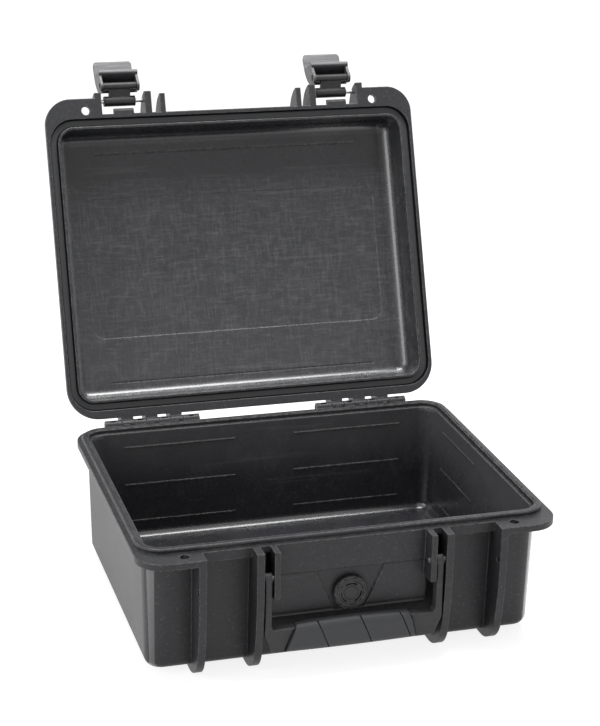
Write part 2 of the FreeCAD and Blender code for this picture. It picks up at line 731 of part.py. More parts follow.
def handle_grip():
    # Rubber sleeve, cut to the slanting seams and grooved on the front
    zc = handle_pivot_z - handle_drop
    front = handle_pivot_y - grip_depth / 2
    tall = grip_height
    ends = []
    for x, slant, s in ((grip_left + grip_seam, grip_left_slant, -1),
                        (grip_right - grip_seam, grip_right_slant, 1)):
        k = slant / (grip_height / 2 - 0.6)
        ends.append(((x - s * k * tall, zc + tall), (x + s * k * tall, zc - tall)))
    (lt, lb), (rt, rb) = ends
    pts = [at(px, front - 1, pz) for px, pz in (lt, rt, rb, lb)]
    span = Part.Face(Part.makePolygon(pts + [pts[0]])).extrude(V(0, grip_depth + 2, 0))
    sleeve = grip_body().common(span).cut(handle_core())
    for x in groove_places:
        groove = block(x - groove_width / 2, x + groove_width / 2, front - 1, front + groove_depth,
                       zc - grip_height / 2, zc + grip_height)
        groove.rotate(at(x, 0, zc + grip_height / 2), V(0, 1, 0), -groove_slant)
        sleeve = sleeve.cut(groove)
    return sleeve


def handle_pin():
    x0 = rib_short_x - rib_short_thickness / 2 - 0.8
    return rod(handle_pin_radius, x0, handle_pin_end - 0.4, handle_pivot_y, handle_pivot_z)


def valve_body(face, seat, stem_end):
    # Notched ring with a stepped well, and the threaded stem through the wall
    back = seat - valve_seal_thickness
    ring_body = valve_rod(valve_radius, face, back)
    rim = edges_near(ring_body, lambda b: b.YLength < 0.01 and abs(b.YMin - at(0, face, 0).y) < 0.01)
    body = ring_body.makeChamfer(valve_chamfer, rim).fuse(valve_rod(valve_bore / 2, back - 1, stem_end))
    for radius, depth in ((valve_radius - 4.4, 2.6), (6.2, 4.4)):
        body = body.cut(valve_rod(radius, face - 1, face + depth))
    body = body.cut(valve_rod(2.6, face, stem_end + 1))
    for k in range(10):
        notch = block(-1.1, 1.1, face - 1, face + 1.4,
                      valve_z + valve_radius - 1.6, valve_z + valve_radius + 1)
        notch.rotate(at(0, 0, valve_z), V(0, 1, 0), 36 * k + 10)
        body = body.cut(notch)
    return body


def valve_cap(face):
    # Disc with three arc slots
    radius = valve_radius - 4.7
    cap = valve_rod(radius, face + 0.4, face + 2.6)
    band = valve_rod(radius - 1.6, face, face + 4).cut(valve_rod(radius - 3.0, face, face + 4))
    reach = radius * math.tan(math.radians(35))
    pts = [at(0, face, valve_z), at(-reach, face, valve_z + radius), at(reach, face, valve_z + radius)]
    wedge = Part.Face(Part.makePolygon(pts + [pts[0]])).extrude(V(0, 4, 0))
    slots = []
    for k in range(3):
        slot = band.common(wedge)
        slot.rotate(at(0, 0, valve_z), V(0, 1, 0), 120 * k)
        slots.append(slot)
    return cap.cut(slots)


def valve_parts():
    seat = housing_front + valve_recess
    face = seat - valve_rise
    inner_wall = ridge_front + opening_inset + inner_wall_lean(valve_z)
    stem_end = inner_wall + valve_stem
    membrane = valve_rod(5.8, face + 2.6, face + 3.0)
    back = seat - valve_seal_thickness
    seal = valve_rod(valve_radius - 2.2, back, seat).cut(valve_rod(valve_bore / 2 + 0.3, back, seat))
    corner = nut_width / math.sqrt(3)
    front = ridge_front + opening_inset + inner_wall_lean(valve_z - corner) + 0.1
    hexagon = []
    for k in range(6):
        a = math.radians(60 * k)
        hexagon.append(at(corner * math.cos(a), front, valve_z + corner * math.sin(a)))
    nut = Part.Face(Part.makePolygon(hexagon + [hexagon[0]])).extrude(V(0, nut_thickness, 0))
    nut = nut.cut(valve_rod(valve_bore / 2 + 0.02, 0, case_depth))
    return {"valve_body": valve_body(face, seat, stem_end), "valve_cap": valve_cap(face),
            "valve_membrane": membrane, "valve_seal": seal, "valve_nut": nut}


def build():
    link = latch_opened(latch_link())
    lever = latch_opened(latch_lever(), True)
    to_left = latch_slide_left - 2 * latch_bay_x
    nodes = {
        "base_shell": base_shell(),
        "lid_shell": on_open_lid(lid_shell()),
        "lid_gasket": on_open_lid(lid_gasket()),
        "hinge_pin_right": hinge_pin(),
        "hinge_pin_left": mirrored(hinge_pin()),
        "latch_link_right": moved(link, latch_slide_right),
        "latch_link_left": moved(link, to_left),
        "latch_lever_right": moved(lever, latch_slide_right),
        "latch_lever_left": moved(lever, to_left),
        "latch_pin_right": on_open_lid(latch_pin()),
        "latch_pin_left": mirrored(on_open_lid(latch_pin())),
        "handle_frame": handle_frame(),
        "handle_grip": handle_grip(),
        "handle_pin_right": handle_pin(),
        "handle_pin_left": mirrored(handle_pin()),
    }
    nodes.update(valve_parts())
    return nodes


os.makedirs("parts", exist_ok=True)
for name, shape in build().items():
    solids = shape.Solids
    if len(solids) == 1:
        shape = solids[0]
    print(name, "solids", len(solids), "volume", round(shape.Volume), "valid", shape.isValid())
    shape.exportStep("parts/" + name + ".step")
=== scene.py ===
"""Waterproof hard case, shown open: finishes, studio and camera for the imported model."""

import logging
import math
from dataclasses import dataclass
from enum import Enum
from typing import Any, Optional, Sequence, Union

import bmesh
import bpy
from mathutils import Matrix, Vector


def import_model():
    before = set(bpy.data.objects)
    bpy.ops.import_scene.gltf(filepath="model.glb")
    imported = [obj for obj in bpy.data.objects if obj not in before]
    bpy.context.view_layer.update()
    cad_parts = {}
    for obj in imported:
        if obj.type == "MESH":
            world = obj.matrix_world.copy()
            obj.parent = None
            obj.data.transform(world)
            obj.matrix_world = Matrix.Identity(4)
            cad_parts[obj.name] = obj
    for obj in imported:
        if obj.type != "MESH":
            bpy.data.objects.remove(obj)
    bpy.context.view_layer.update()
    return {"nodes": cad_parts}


log = logging.getLogger("hard_case")

Triple = tuple[float, float, float]
Span = tuple[float, float]
Nodes = dict[str, bpy.types.Object]

# Rays that each bevel node, and each occlusion node of painted shade, sends out at a point.
SOFT_SAMPLES = 6
# How far the rounded normal has turned where an edge's wear starts, and where it is full.
WORN_TURN = (0.004, 0.07)
# Light Path outputs of the rays that show the background.
WHITE_RAYS = ("Is Camera Ray", "Is Glossy Ray", "Is Transmission Ray")


class Region(Enum):
    """Which shell a finish belongs to."""

    BASE = "base"
    LID = "lid"
    NONE = "none"


class Signal:
    """A node socket that can be used in Python arithmetic."""

    def __init__(self, board: "NodeBoard", socket: bpy.types.NodeSocket) -> None:
        """Wrap one output socket.

        Args:
            board: The nodes that the socket belongs to.
            socket: The output that this signal reads.
        """
        self.board = board
        self.socket = socket

    def _math(self, op: str, *values: Any, clamp: bool = False) -> "Signal":
        """Add one Math node fed by the values."""
        return self.board.node("ShaderNodeMath", {"operation": op, "use_clamp": clamp}, list(values))

    def __add__(self, other: Any) -> "Signal":
        """Sum."""
        return self._math("ADD", self, other)

    __radd__ = __add__

    def __sub__(self, other: Any) -> "Signal":
        """Difference."""
        return self._math("SUBTRACT", self, other)

    def __rsub__(self, other: Any) -> "Signal":
        """Difference the other way round."""
        return self._math("SUBTRACT", other, self)

    def __mul__(self, other: Any) -> "Signal":
        """Product."""
        return self._math("MULTIPLY", self, other)

    __rmul__ = __mul__

    def __pow__(self, other: Any) -> "Signal":
        """Power."""
        return self._math("POWER", self, other)

    def clamp(self) -> "Signal":
        """The signal held between 0 and 1."""
        return self._math("ADD", self, 0.0, clamp=True)

    def centred(self, middle: float = 0.5) -> "Signal":
        """The signal less its middle value."""
        return self - middle

    def magnitude(self) -> "Signal":
        """Absolute value."""
        return self._math("ABSOLUTE", self)

    def at_least(self, other: Any) -> "Signal":
        """The larger of two signals."""
        return self._math("MAXIMUM", self, other)

    def ramp(self, low: float, high: float) -> "Signal":
        """Smooth step from 0 at low to 1 at high.

        Args:
            low: Input value that gives 0.
            high: Input value that gives 1; below low, the step runs down.

        Returns:
            The smoothed signal.
        """
        if high < low:
            return 1.0 - self.ramp(high, low)
        return self.board.node("ShaderNodeMapRange", {"interpolation_type": "SMOOTHSTEP"}, {
            "Value": self, "From Min": low, "From Max": high})


class NodeBoard:
    """Adds nodes to one node tree, a material's or the world's."""

    def __init__(self, tree: bpy.types.NodeTree) -> None:
        """Take a node tree.

        Args:
            tree: The tree that the nodes go into.
        """
        self.tree = tree

    def feed(self, target: bpy.types.NodeSocket, value: Any) -> None:
        """Link a signal to a socket, or write a plain value into it.

        Args:
            target: The input socket.
            value: A signal, a number or a colour.
        """
        if isinstance(value, Signal):
            self.tree.links.new(value.socket, target)
        elif isinstance(value, tuple) and len(target.default_value) == 4:
            target.default_value = (*value, 1.0)
        else:
            target.default_value = value

    def node(self, kind: str, settings: dict[str, Any], values: Any,
             output: Union[str, int] = 0) -> Signal:
        """Add any node.

        Args:
            kind: Blender's node type.
            settings: Properties of the node, set before its sockets.
            values: Input values or signals, by socket name or number, or in order.
            output: Name or number of the output to return.

        Returns:
            The chosen output.
        """
        made = self.tree.nodes.new(kind)
        for key, value in settings.items():
            setattr(made, key, value)
        pairs = values.items() if isinstance(values, dict) else enumerate(values)
        for key, value in pairs:
            self.feed(made.inputs[key], value)
        return Signal(self, made.outputs[output])

    def axes(self, vector: Signal) -> tuple[Signal, ...]:
        """Split a vector into its three signals."""
        split = self.node("ShaderNodeSeparateXYZ", {}, [vector]).socket.node
        return tuple(Signal(self, socket) for socket in split.outputs)

    def mix(self, factor: Any, first: Any, second: Any) -> Signal:
        """Blend two colours or vectors.

        Args:
            factor: 0 gives the first and 1 gives the second.
            first: First colour.
            second: Second colour.

        Returns:
            The blend.
        """
        return self.node("ShaderNodeMix", {"data_type": "RGBA"}, {0: factor, 6: first, 7: second}, 2)

    def shade(self, tone: Triple, gain: Any) -> Signal:
        """A colour times a signal."""
        grey = self.node("ShaderNodeCombineXYZ", {}, [gain, gain, gain])
        return self.node("ShaderNodeVectorMath", {"operation": "MULTIPLY"}, [grey, tone])

    def white_rays(self) -> Signal:
        """1 for the rays that see the background white: straight, mirrored or through glass."""
        straight, mirrored, clear = (self.node("ShaderNodeLightPath", {}, {}, ray) for ray in WHITE_RAYS)
        return straight.at_least(mirrored).at_least(clear)


class Finisher(NodeBoard):
    """Builds one procedural material on a Principled shader."""

    def __init__(self, name: str) -> None:
        """Start an empty material.

        Args:
            name: The material's name.
        """
        self.material = bpy.data.materials.new(name)
        self.material.use_nodes = True
        super().__init__(self.material.node_tree)
        self.shader = self.tree.nodes["Principled BSDF"]
        self.place = self.node("ShaderNodeTexCoord", {}, {}, "Object")

    def edge(self, radius: float) -> tuple[Signal, Signal]:
        """Worn edges.

        Args:
            radius: How far from an edge the wear reaches, in metres.

        Returns:
            A normal rounded over the edges, and a mask that is 1 on them.
        """
        soft = self.node("ShaderNodeBevel", {"samples": SOFT_SAMPLES}, {"Radius": radius})
        true = self.node("ShaderNodeNewGeometry", {}, {}, "Normal")
        same = self.node("ShaderNodeVectorMath", {"operation": "DOT_PRODUCT"}, [soft, true], "Value")
        return soft, (1.0 - same).ramp(*WORN_TURN)

    def paint_crease_shade(self, reach: float, least: float) -> Signal:
        """Painted shade: darkens the colour where shade gathers in creases.

        Args:
            reach: How far away a neighbour still darkens, in metres.
            least: The signal deep in a crease.

        Returns:
            1 in the open, least deep in a crease.
        """
        free = self.node("ShaderNodeAmbientOcclusion", {"samples": SOFT_SAMPLES},
                         {"Distance": reach}, "AO")
        return least + (1.0 - least) * free

    def finish(self, colour: Any, rough: Any, height: Any, depth: float, normal: Optional[Signal] = None,
               coat: Any = 0.0, **fixed: float) -> bpy.types.Material:
        """Connect the finish to the shader.

        Args:
            colour: Base colour.
            rough: Roughness.
            height: Relief signal for the bump.
            depth: Relief height in metres.
            normal: Normal that the bump starts from.
            coat: Weight of the clear skin.
            fixed: Values that are the same all over, by socket name with underscores.

        Returns:
            The finished material.
        """
        values = {"Height": height, "Distance": depth, "Strength": 1.0}
        if normal is not None:
            values["Normal"] = normal
        bump = self.node("ShaderNodeBump", {}, values)
        fed = {"Base Color": colour, "Roughness": rough, "Coat Weight": coat, "Normal": bump}
        for socket, value in fed.items():
            self.feed(self.shader.inputs[socket], value)
        for key, value in fixed.items():
            self.shader.inputs[key.replace("_", " ")].default_value = value
        return self.material


@dataclass(frozen=True)
class Pattern:
    """Fractal noise over a piece, with a smooth step over it if one is given.

    The scale is in features per metre, detail is the number of octaves, rough the weight of each
    finer one, turn is in degrees, and step gives the noise values that become 0 and 1.
    """

    scale: float
    detail: float = 3.0
    rough: float = 0.55
    stretch: Triple = (1.0, 1.0, 1.0)
    turn: Triple = (0.0, 0.0, 0.0)
    warp: float = 0.0
    step: Optional[Span] = None

    def on(self, mat: Finisher) -> Signal:
        """Lay the pattern.

        Args:
            mat: The material being built.

        Returns:
            The pattern, from 0 to 1.
        """
        space = mat.node("ShaderNodeMapping", {}, {
            "Vector": mat.place, "Rotation": tuple(math.radians(angle) for angle in self.turn),
            "Scale": self.stretch})
        noise = mat.node("ShaderNodeTexNoise", {"noise_dimensions": "3D"}, {
            "Vector": space, "Scale": self.scale, "Detail": self.detail, "Roughness": self.rough,
            "Distortion": self.warp})
        return noise.ramp(*self.step) if self.step else noise


# Patterns of every moulding.
FINE_GRAIN = Pattern(900.0, 2.0, 0.6)
COARSE_GRAIN = Pattern(252.0, 3.0, 0.6)
FLOW_CLOUD = Pattern(9.0, 4.0, 0.6, warp=0.6)
FLOW_LINES = Pattern(16.0, 5.0, 0.65, stretch=(1.0, 1.0, 0.25), warp=1.2)
GRAIN_MOTTLE = Pattern(190.0, 5.0, 0.75, stretch=(0.7, 0.7, 1.5), warp=1.4)
HANDLING_RUBS = Pattern(55.0, 6.0, 0.72, stretch=(0.35, 1.0, 1.0), turn=(0.0, 0.0, 12.0),
                        step=(0.56, 0.74))
RUBBED_PATCHES = Pattern(14.0, 3.0, 0.5, step=(0.48, 0.66))
EDGE_CHIPS = Pattern(260.0, 4.0, 0.75, step=(0.42, 0.56))
PALE_SPECKS = Pattern(480.0, 2.0, 0.5, step=(0.63, 0.69))
SCRATCH_STRETCH = (0.09, 2.6, 2.6)
SCRATCHES = (
    Pattern(30.0, 5.0, 0.62, SCRATCH_STRETCH, turn=(8.0, 25.0, 34.0), step=(0.655, 0.690)),
    Pattern(24.0, 5.0, 0.62, SCRATCH_STRETCH, turn=(-20.0, -12.0, 71.0), step=(0.665, 0.700)),
    Pattern(27.0, 5.0, 0.62, SCRATCH_STRETCH, turn=(63.0, 8.0, -28.0), step=(0.660, 0.695)),
)
WEAR_STREAKS = Pattern(260.0, 4.0, 0.65, stretch=(0.10, 1.0, 1.0), step=(0.25, 0.75))

# Patterns inside the shells only.
INNER_HAZE = Pattern(7.0, 5.0, 0.62, warp=1.6)
INNER_GRIT = Pattern(260.0, 4.0, 0.7)
DULLED_SKIN = Pattern(22.0, 5.0, 0.65, warp=1.0, step=(0.38, 0.70))
HAND_SWIRLS = Pattern(34.0, 8.0, 0.74, stretch=(1.0, 0.55, 0.55), turn=(0.0, 20.0, 15.0), warp=2.2,
                      step=(0.50, 0.78))
SWIRL_ZONES = Pattern(6.0, 2.0, 0.5, step=(0.40, 0.62))
# Clouds in the painted light high on the base's walls.
PAINTED_WALL_LIGHT_CLOUDS = Pattern(40.0, 6.0, 0.7, stretch=(0.5, 0.5, 1.6), warp=0.8)
FOAM_STROKES = Pattern(420.0, 3.0, 0.65, stretch=(0.12, 1.0, 1.0), turn=(25.0, 15.0, 38.0),
                       step=(0.46, 0.70))
FOAM_CROSSINGS = Pattern(380.0, 3.0, 0.65, stretch=(1.0, 0.14, 0.14), turn=(20.0, 10.0, -22.0),
                         step=(0.46, 0.70))
FOAM_ARCS = Pattern(46.0, 7.0, 0.74, stretch=(0.5, 1.0, 1.0), turn=(0.0, 30.0, 55.0), warp=1.6,
                    step=(0.47, 0.66))


@dataclass(frozen=True)
class CaseSizes:
    """Sizes that the finishes share, in metres; the lid's are those of the closed lid.

    A pair gives the places where a smooth step is 0 and where it is 1.
    """

    parting: float = 0.1256
    lean: float = 0.026
    inner_x: float = 0.1851
    inner_front: float = -0.13455
    inner_back: float = 0.14665
    floor: float = 0.0103
    lid_depth: float = 0.038
    lid_open: float = 111.0
    hinge: Triple = (0.0, 0.17375, 0.1243)
    rub_edge: Span = (-0.087, -0.077)
    hinge_ward_gain: Span = (-0.02, 0.14)
    # Depths below the mouth where the painted light on the base's walls is full and where it ends.
    painted_wall_light: Span = (0.075, 0.012)
    # Place of the painted shadow line under the apron.
    apron_drop: float = 0.0305
    apron_line: Span = (0.0009, 0.0004)
    apron_end: Span = (0.0725, 0.0720)
    apron_front: Span = (-0.14055, -0.14255)


@dataclass(frozen=True)
class InnerMargins:
    """Steps from outside to inside, in metres past a shell's inner faces and below its mouth.

    A drafted mask follows the slope of the walls.
    """

    drafted: bool
    walls: Span
    floor: Span
    mouth: Span


MARGINS = {
    Region.BASE: InnerMargins(drafted=True, walls=(0.0016, 0.0012), floor=(0.0010, 0.0006),
                              mouth=(-0.0004, 0.0001)),
    Region.LID: InnerMargins(drafted=False, walls=(0.0012, 0.0008), floor=(0.0022, 0.0018),
                             mouth=(0.0003, 0.0008)),
}


class ShellSpace:
    """The base's or the closed lid's own directions, as signals in metres."""

    def __init__(self, mat: Finisher, case: CaseSizes, region: Region) -> None:
        """Measure a shell.

        Args:
            mat: The material being built.
            case: Sizes of the shells.
            region: The base or the lid.
        """
        self.mat = mat
        self.case = case
        self.region = region
        if region is Region.LID:
            moved = mat.node("ShaderNodeVectorMath", {"operation": "SUBTRACT"}, [mat.place, case.hinge])
            closed = mat.node("ShaderNodeMapping", {}, {
                "Vector": moved, "Rotation": (math.radians(case.lid_open), 0.0, 0.0),
                "Location": case.hinge})
            self.x, self.y, height = mat.axes(closed)
            self.depth = height - case.parting
            self.full = case.lid_depth
        else:
            self.x, self.y, height = mat.axes(mat.place)
            self.depth = case.parting - height
            self.full = case.parting - case.floor

    def walls(self, lean: float, zero: float, one: float) -> tuple[Signal, Signal, Signal]:
        """Smooth steps across the walls, by the distance outside their inner faces.

        Args:
            lean: Slope that the walls are taken to have.
            zero: Distance that gives 0, in metres.
            one: Distance that gives 1.

        Returns:
            The steps of both sides, of the front and of the back.
        """
        slope = self.depth * lean
        side = (self.x.magnitude() + slope).ramp(self.case.inner_x + zero, self.case.inner_x + one)
        front = (self.y - slope).ramp(self.case.inner_front - zero, self.case.inner_front - one)
        back = (self.y + slope).ramp(self.case.inner_back + zero, self.case.inner_back + one)
        return side, front, back

    def inside(self) -> Signal:
        """1 on the surfaces inside the shell, 0 outside."""
        margins = MARGINS[self.region]
        side, front, back = self.walls(self.case.lean if margins.drafted else 0.0, *margins.walls)
        floor = self.depth.ramp(*(self.full + margin for margin in margins.floor))
        return side * front * back * floor * self.depth.ramp(*margins.mouth)

    def corners(self, near: float, far: float) -> Signal:
        """Broad rounded corners inside, where the floor meets the walls and the walls meet.

        Args:
            near: Distance from both faces up to which it counts fully, in metres.
            far: Distance at which it ends.

        Returns:
            1 near a corner, 0 on the flat stretches between.
        """
        side, front, back = self.walls(self.case.lean, -far, -near)
        ends = back.at_least(front)
        low = self.depth.ramp(self.full - far, self.full - near)
        return (side * ends).at_least(low * side.at_least(ends))

    def apron_painted_shadow(self) -> Signal:
        """Painted shadow: 1 on the thin dark line along the apron's lower edge, on the base's front."""
        drop = (self.depth - self.case.apron_drop).magnitude().ramp(*self.case.apron_line)
        across = self.x.magnitude().ramp(*self.case.apron_end)
        return drop * across * self.y.ramp(*self.case.apron_front)


@dataclass
class Skin:
    """The signals that a moulding's finish is put together from."""

    gain: Any
    speckle: Any
    wear_and_light: Any
    rough: Any
    relief: Any
    normal: Signal
    coat: Any = 0.0

    def press_line_and_shadow(self, line: Signal, shade: float, depth: float) -> None:
        """Darken and sink a line; used for moulded lines and for the painted shadow line under the apron.

        Args:
            line: 1 on the line, 0 elsewhere.
            shade: How much darker the line is.
            depth: How deep it is, in units of the relief.
        """
        self.speckle = self.speckle - shade * line
        self.relief = self.relief - depth * line


@dataclass(frozen=True)
class InnerSkin:
    """The smoother skin inside a shell, with a painted lift in tone: how it departs from the grained one
    outside.
    """

    round_radius: float = 0.0075
    round_reach: Span = (0.010, 0.018)
    shine_reach: Span = (0.0045, 0.0095)
    corner_coat: float = 1.0
    corner_gloss: float = 0.06
    coat: float = 0.06
    painted_inner_light: float = 0.08
    haze: float = 0.9
    haze_middle: float = 0.45
    grit: float = 0.35
    dulling: float = 0.16
    gloss: float = 0.19
    swirls: float = 0.45
    swirl_share: float = 0.35
    speckle_left: float = 0.2
    relief_left: float = 0.2
    # Painted light on the base's walls: its least share and its clouds.
    painted_wall_light: float = 0.42
    painted_light_clouds: float = 0.55
    strokes: float = 0.40
    crossings: float = 0.36
    arcs: float = 0.20
    hinge_ward_gain: float = 0.12

    def rubs_and_painted_light(self, space: ShellSpace) -> Signal:
        """Paler share inside: painted light high on the base's walls, and foam strokes on the lid's
        floor.

        Args:
            space: The shell's directions.

        Returns:
            Share of the pale colour.
        """
        mat = space.mat
        case = space.case
        # Base: painted light, the walls paler high up near the mouth, in clouds.
        if space.region is Region.BASE:
            clouds = self.painted_light_clouds * PAINTED_WALL_LIGHT_CLOUDS.on(mat)
            return space.depth.ramp(*case.painted_wall_light) * (self.painted_wall_light + clouds)
        # Lid: foam strokes and arcs, stronger towards the hinge and absent near the front edge.
        strokes = self.strokes * FOAM_STROKES.on(mat) + self.crossings * FOAM_CROSSINGS.on(mat)
        haze = self.arcs * FOAM_ARCS.on(mat) + self.hinge_ward_gain * space.y.ramp(*case.hinge_ward_gain)
        return space.y.ramp(*case.rub_edge) * (strokes + haze)

    def lay(self, skin: Skin, space: ShellSpace) -> None:
        """Change the skin inside a shell.

        Args:
            skin: The moulding's signals, which are changed.
            space: The shell's directions.
        """
        mat = space.mat
        inside = space.inside()
        bend = inside * space.corners(*self.shine_reach)
        rounded = mat.edge(self.round_radius)[0]
        skin.normal = mat.mix(inside * space.corners(*self.round_reach), skin.normal, rounded)
        skin.coat = inside * self.coat + bend * self.corner_coat
        haze = INNER_HAZE.on(mat).centred(self.haze_middle) * self.haze
        grit = INNER_GRIT.on(mat).centred() * self.grit
        # Painted light: the inside is lifted in tone against the outside.
        skin.gain = skin.gain + inside * (self.painted_inner_light + haze + grit)
        skin.speckle = skin.speckle * (1.0 - inside * (1.0 - self.speckle_left))
        zone = self.swirl_share + (1.0 - self.swirl_share) * SWIRL_ZONES.on(mat)
        swirl = HAND_SWIRLS.on(mat) * zone * self.swirls
        skin.wear_and_light = skin.wear_and_light + inside * (swirl + self.rubs_and_painted_light(space))
        dull = self.dulling * DULLED_SKIN.on(mat) - self.gloss
        skin.rough = skin.rough + inside * dull - bend * self.corner_gloss
        skin.relief = skin.relief * (1.0 - inside * (1.0 - self.relief_left))


@dataclass(frozen=True)
class RingLine:
    """A fine circle moulded round the valve's axis, in metres; its core is a share of its width."""

    height: float
    radius: float
    width: float
    core: float = 0.4

    def on(self, mat: Finisher) -> Signal:
        """1 on the line, 0 elsewhere."""
        x, _, z = mat.axes(mat.place)
        rise = z - self.height
        away = ((x * x + rise * rise) ** 0.5 - self.radius).magnitude()
        return away.ramp(self.width, self.width * self.core)


@dataclass(frozen=True)
class Weights:
    """How strongly each pattern shows in a moulding's tone, wear, gloss and relief."""

    tone: float = 0.72
    tone_cloud: float = 0.22
    tone_flow: float = 0.16
    tone_coarse: float = 0.40
    tone_mottle: float = 1.3
    wear_scratch: float = 0.8
    wear_rub: float = 0.5
    wear_speck: float = 0.5
    gloss_cloud: float = 0.10
    gloss_fine: float = 0.06
    gloss_wear: float = 0.08
    relief_fine: float = 0.7
    relief_coarse: float = 0.9
    relief_mottle: float = 5.0
    relief_scratch: float = 0.25
    # Darkness of the painted shadow line under the apron.
    apron_shadow_dark: float = 0.7
    ring_shade: float = 0.75
    line_depth: float = 4.0


@dataclass(frozen=True)
class FacingWearAndLight:
    """Pale wear on the faces that look up or to the left (−X), drawn out along the lever; the facing mask
    also paints the light those faces catch.
    """

    amount: float
    upward: Span = (0.05, 0.55)
    left_facing: Span = (-0.5, -0.9)
    left_facing_share: float = 0.55
    even: float = 0.40
    streaked: float = 0.70

    def on(self, mat: Finisher) -> Signal:
        """Lay the wear.

        Args:
            mat: The material being built.

        Returns:
            Share of the pale colour.
        """
        x, _, z = mat.axes(mat.node("ShaderNodeTexCoord", {}, {}, "Normal"))
        # Painted light as well as wear: faces turned up and to −X are made paler.
        facing = z.ramp(*self.upward) + self.left_facing_share * x.ramp(*self.left_facing)
        return facing * (self.even + self.streaked * WEAR_STREAKS.on(mat)) * self.amount


@dataclass(frozen=True)
class MouldedPlastic:
    """Charcoal moulded polypropylene: spark-grain outside, smoother and scuffed inside."""

    name: str
    tone: Triple = (0.0295, 0.0300, 0.0338)
    # Pale colour of wear, also used for the painted light of the facing and wall masks.
    worn_and_lit: Triple = (0.105, 0.105, 0.110)
    chipped: Triple = (0.20, 0.195, 0.19)
    rough: float = 0.41
    grain_depth: float = 0.00006
    scuffs: float = 0.35
    chipping: float = 0.75
    sheen: float = 0.38
    edge_reach: float = 0.0016
    # Reach and least value of the painted shade in creases.
    shade_reach: float = 0.016
    shade_least: float = 0.25
    clear_rough: float = 0.21
    clear_ior: float = 1.6
    show: Weights = Weights()
    inner: InnerSkin = InnerSkin()
    facing_wear_and_light: Optional[FacingWearAndLight] = None
    ring: Optional[RingLine] = None
    region: Region = Region.NONE

    def skin(self, mat: Finisher, cloud: Signal, normal: Signal) -> Skin:
        """Grained outer skin with its flow marks, rubs and scratches.

        Args:
            mat: The material being built.
            cloud: Slow changes of tone and gloss.
            normal: Normal with the edges rounded.

        Returns:
            The signals of the skin.
        """
        show = self.show
        fine = FINE_GRAIN.on(mat)
        coarse = COARSE_GRAIN.on(mat)
        mottle = GRAIN_MOTTLE.on(mat)
        scratch = sum(lines.on(mat) for lines in SCRATCHES).clamp()
        rub = HANDLING_RUBS.on(mat) * RUBBED_PATCHES.on(mat)
        tone = show.tone + show.tone_cloud * cloud + show.tone_flow * FLOW_LINES.on(mat)
        grained = show.relief_fine * fine + show.relief_coarse * coarse + show.relief_mottle * mottle
        return Skin(
            gain=tone + show.tone_coarse * coarse.centred(),
            speckle=show.tone_mottle * mottle.centred(),
            wear_and_light=(show.wear_scratch * scratch + show.wear_rub * rub) * self.scuffs,
            rough=self.rough + show.gloss_cloud * cloud.centred() + show.gloss_fine * fine.centred(),
            relief=grained - show.relief_scratch * scratch,
            normal=normal)

    def build(self, case: CaseSizes) -> bpy.types.Material:
        """Make the material.

        Args:
            case: Sizes of the shells.

        Returns:
            The finished material.
        """
        mat = Finisher(self.name)
        normal, wear = mat.edge(self.edge_reach)
        cloud = FLOW_CLOUD.on(mat)
        skin = self.skin(mat, cloud, normal)
        if self.region is not Region.NONE:
            space = ShellSpace(mat, case, self.region)
            self.inner.lay(skin, space)
            if self.region is Region.BASE:
                # Painted shadow line under the apron's lower edge, darkened and sunk.
                skin.press_line_and_shadow(space.apron_painted_shadow(), self.show.apron_shadow_dark, self.show.line_depth)
        if self.ring:
            skin.press_line_and_shadow(self.ring.on(mat), self.show.ring_shade, self.show.line_depth)
        # Share of the pale colour: scuffs and wear, with the painted light of the facing masks and the
        # base's walls.
        light = (skin.wear_and_light + (self.facing_wear_and_light.on(mat) if self.facing_wear_and_light else 0.0)).clamp()
        chips = wear * EDGE_CHIPS.on(mat) * self.chipping
        pale = (chips + PALE_SPECKS.on(mat) * cloud * self.show.wear_speck).clamp()
        # Painted shade: the colour is darkened in creases and recesses.
        free = mat.paint_crease_shade(self.shade_reach, self.shade_least)
        colour = mat.mix(light * free, mat.shade(self.tone, (skin.gain + skin.speckle) * free), self.worn_and_lit)
        colour = mat.mix(pale * free, colour, self.chipped)
        rough = (skin.rough + light * self.show.gloss_wear).clamp()
        return mat.finish(colour, rough, skin.relief, self.grain_depth, skin.normal, skin.coat,
                          Specular_IOR_Level=self.sheen, Coat_Roughness=self.clear_rough,
                          Coat_IOR=self.clear_ior)


@dataclass(frozen=True)
class SoftRubber:
    """Matt black rubber with a dusty bloom."""

    name: str
    tone: Triple = (0.036, 0.037, 0.040)
    dust: Triple = (0.085, 0.085, 0.090)
    rough: float = 0.62
    depth: float = 0.00005
    rounding: float = 0.0008
    fine: Pattern = Pattern(1400.0, 2.0, 0.6)
    skin: Pattern = Pattern(210.0, 4.0, 0.65)
    cloud: Pattern = Pattern(28.0, 4.0, 0.6, warp=0.8)
    bloom: Pattern = Pattern(70.0, 5.0, 0.7, stretch=(0.3, 1.0, 1.0), step=(0.52, 0.80))
    level: float = 0.86
    clouding: float = 0.28
    mottling: float = 0.12
    dusting: float = 0.25
    edge_dust: float = 0.3
    cloud_gloss: float = 0.12
    bloom_gloss: float = 0.08
    skin_relief: float = 0.6

    def build(self) -> bpy.types.Material:
        """Make the material.

        Returns:
            The finished material.
        """
        mat = Finisher(self.name)
        normal, wear = mat.edge(self.rounding)
        fine = self.fine.on(mat)
        skin = self.skin.on(mat)
        cloud = self.cloud.on(mat)
        bloom = self.bloom.on(mat)
        tone = mat.shade(self.tone, self.level + self.clouding * cloud + self.mottling * skin.centred())
        colour = mat.mix((self.dusting * bloom + self.edge_dust * wear).clamp(), tone, self.dust)
        rough = (self.rough + self.cloud_gloss * cloud.centred() + self.bloom_gloss * bloom).clamp()
        return mat.finish(colour, rough, fine + self.skin_relief * skin, self.depth, normal)


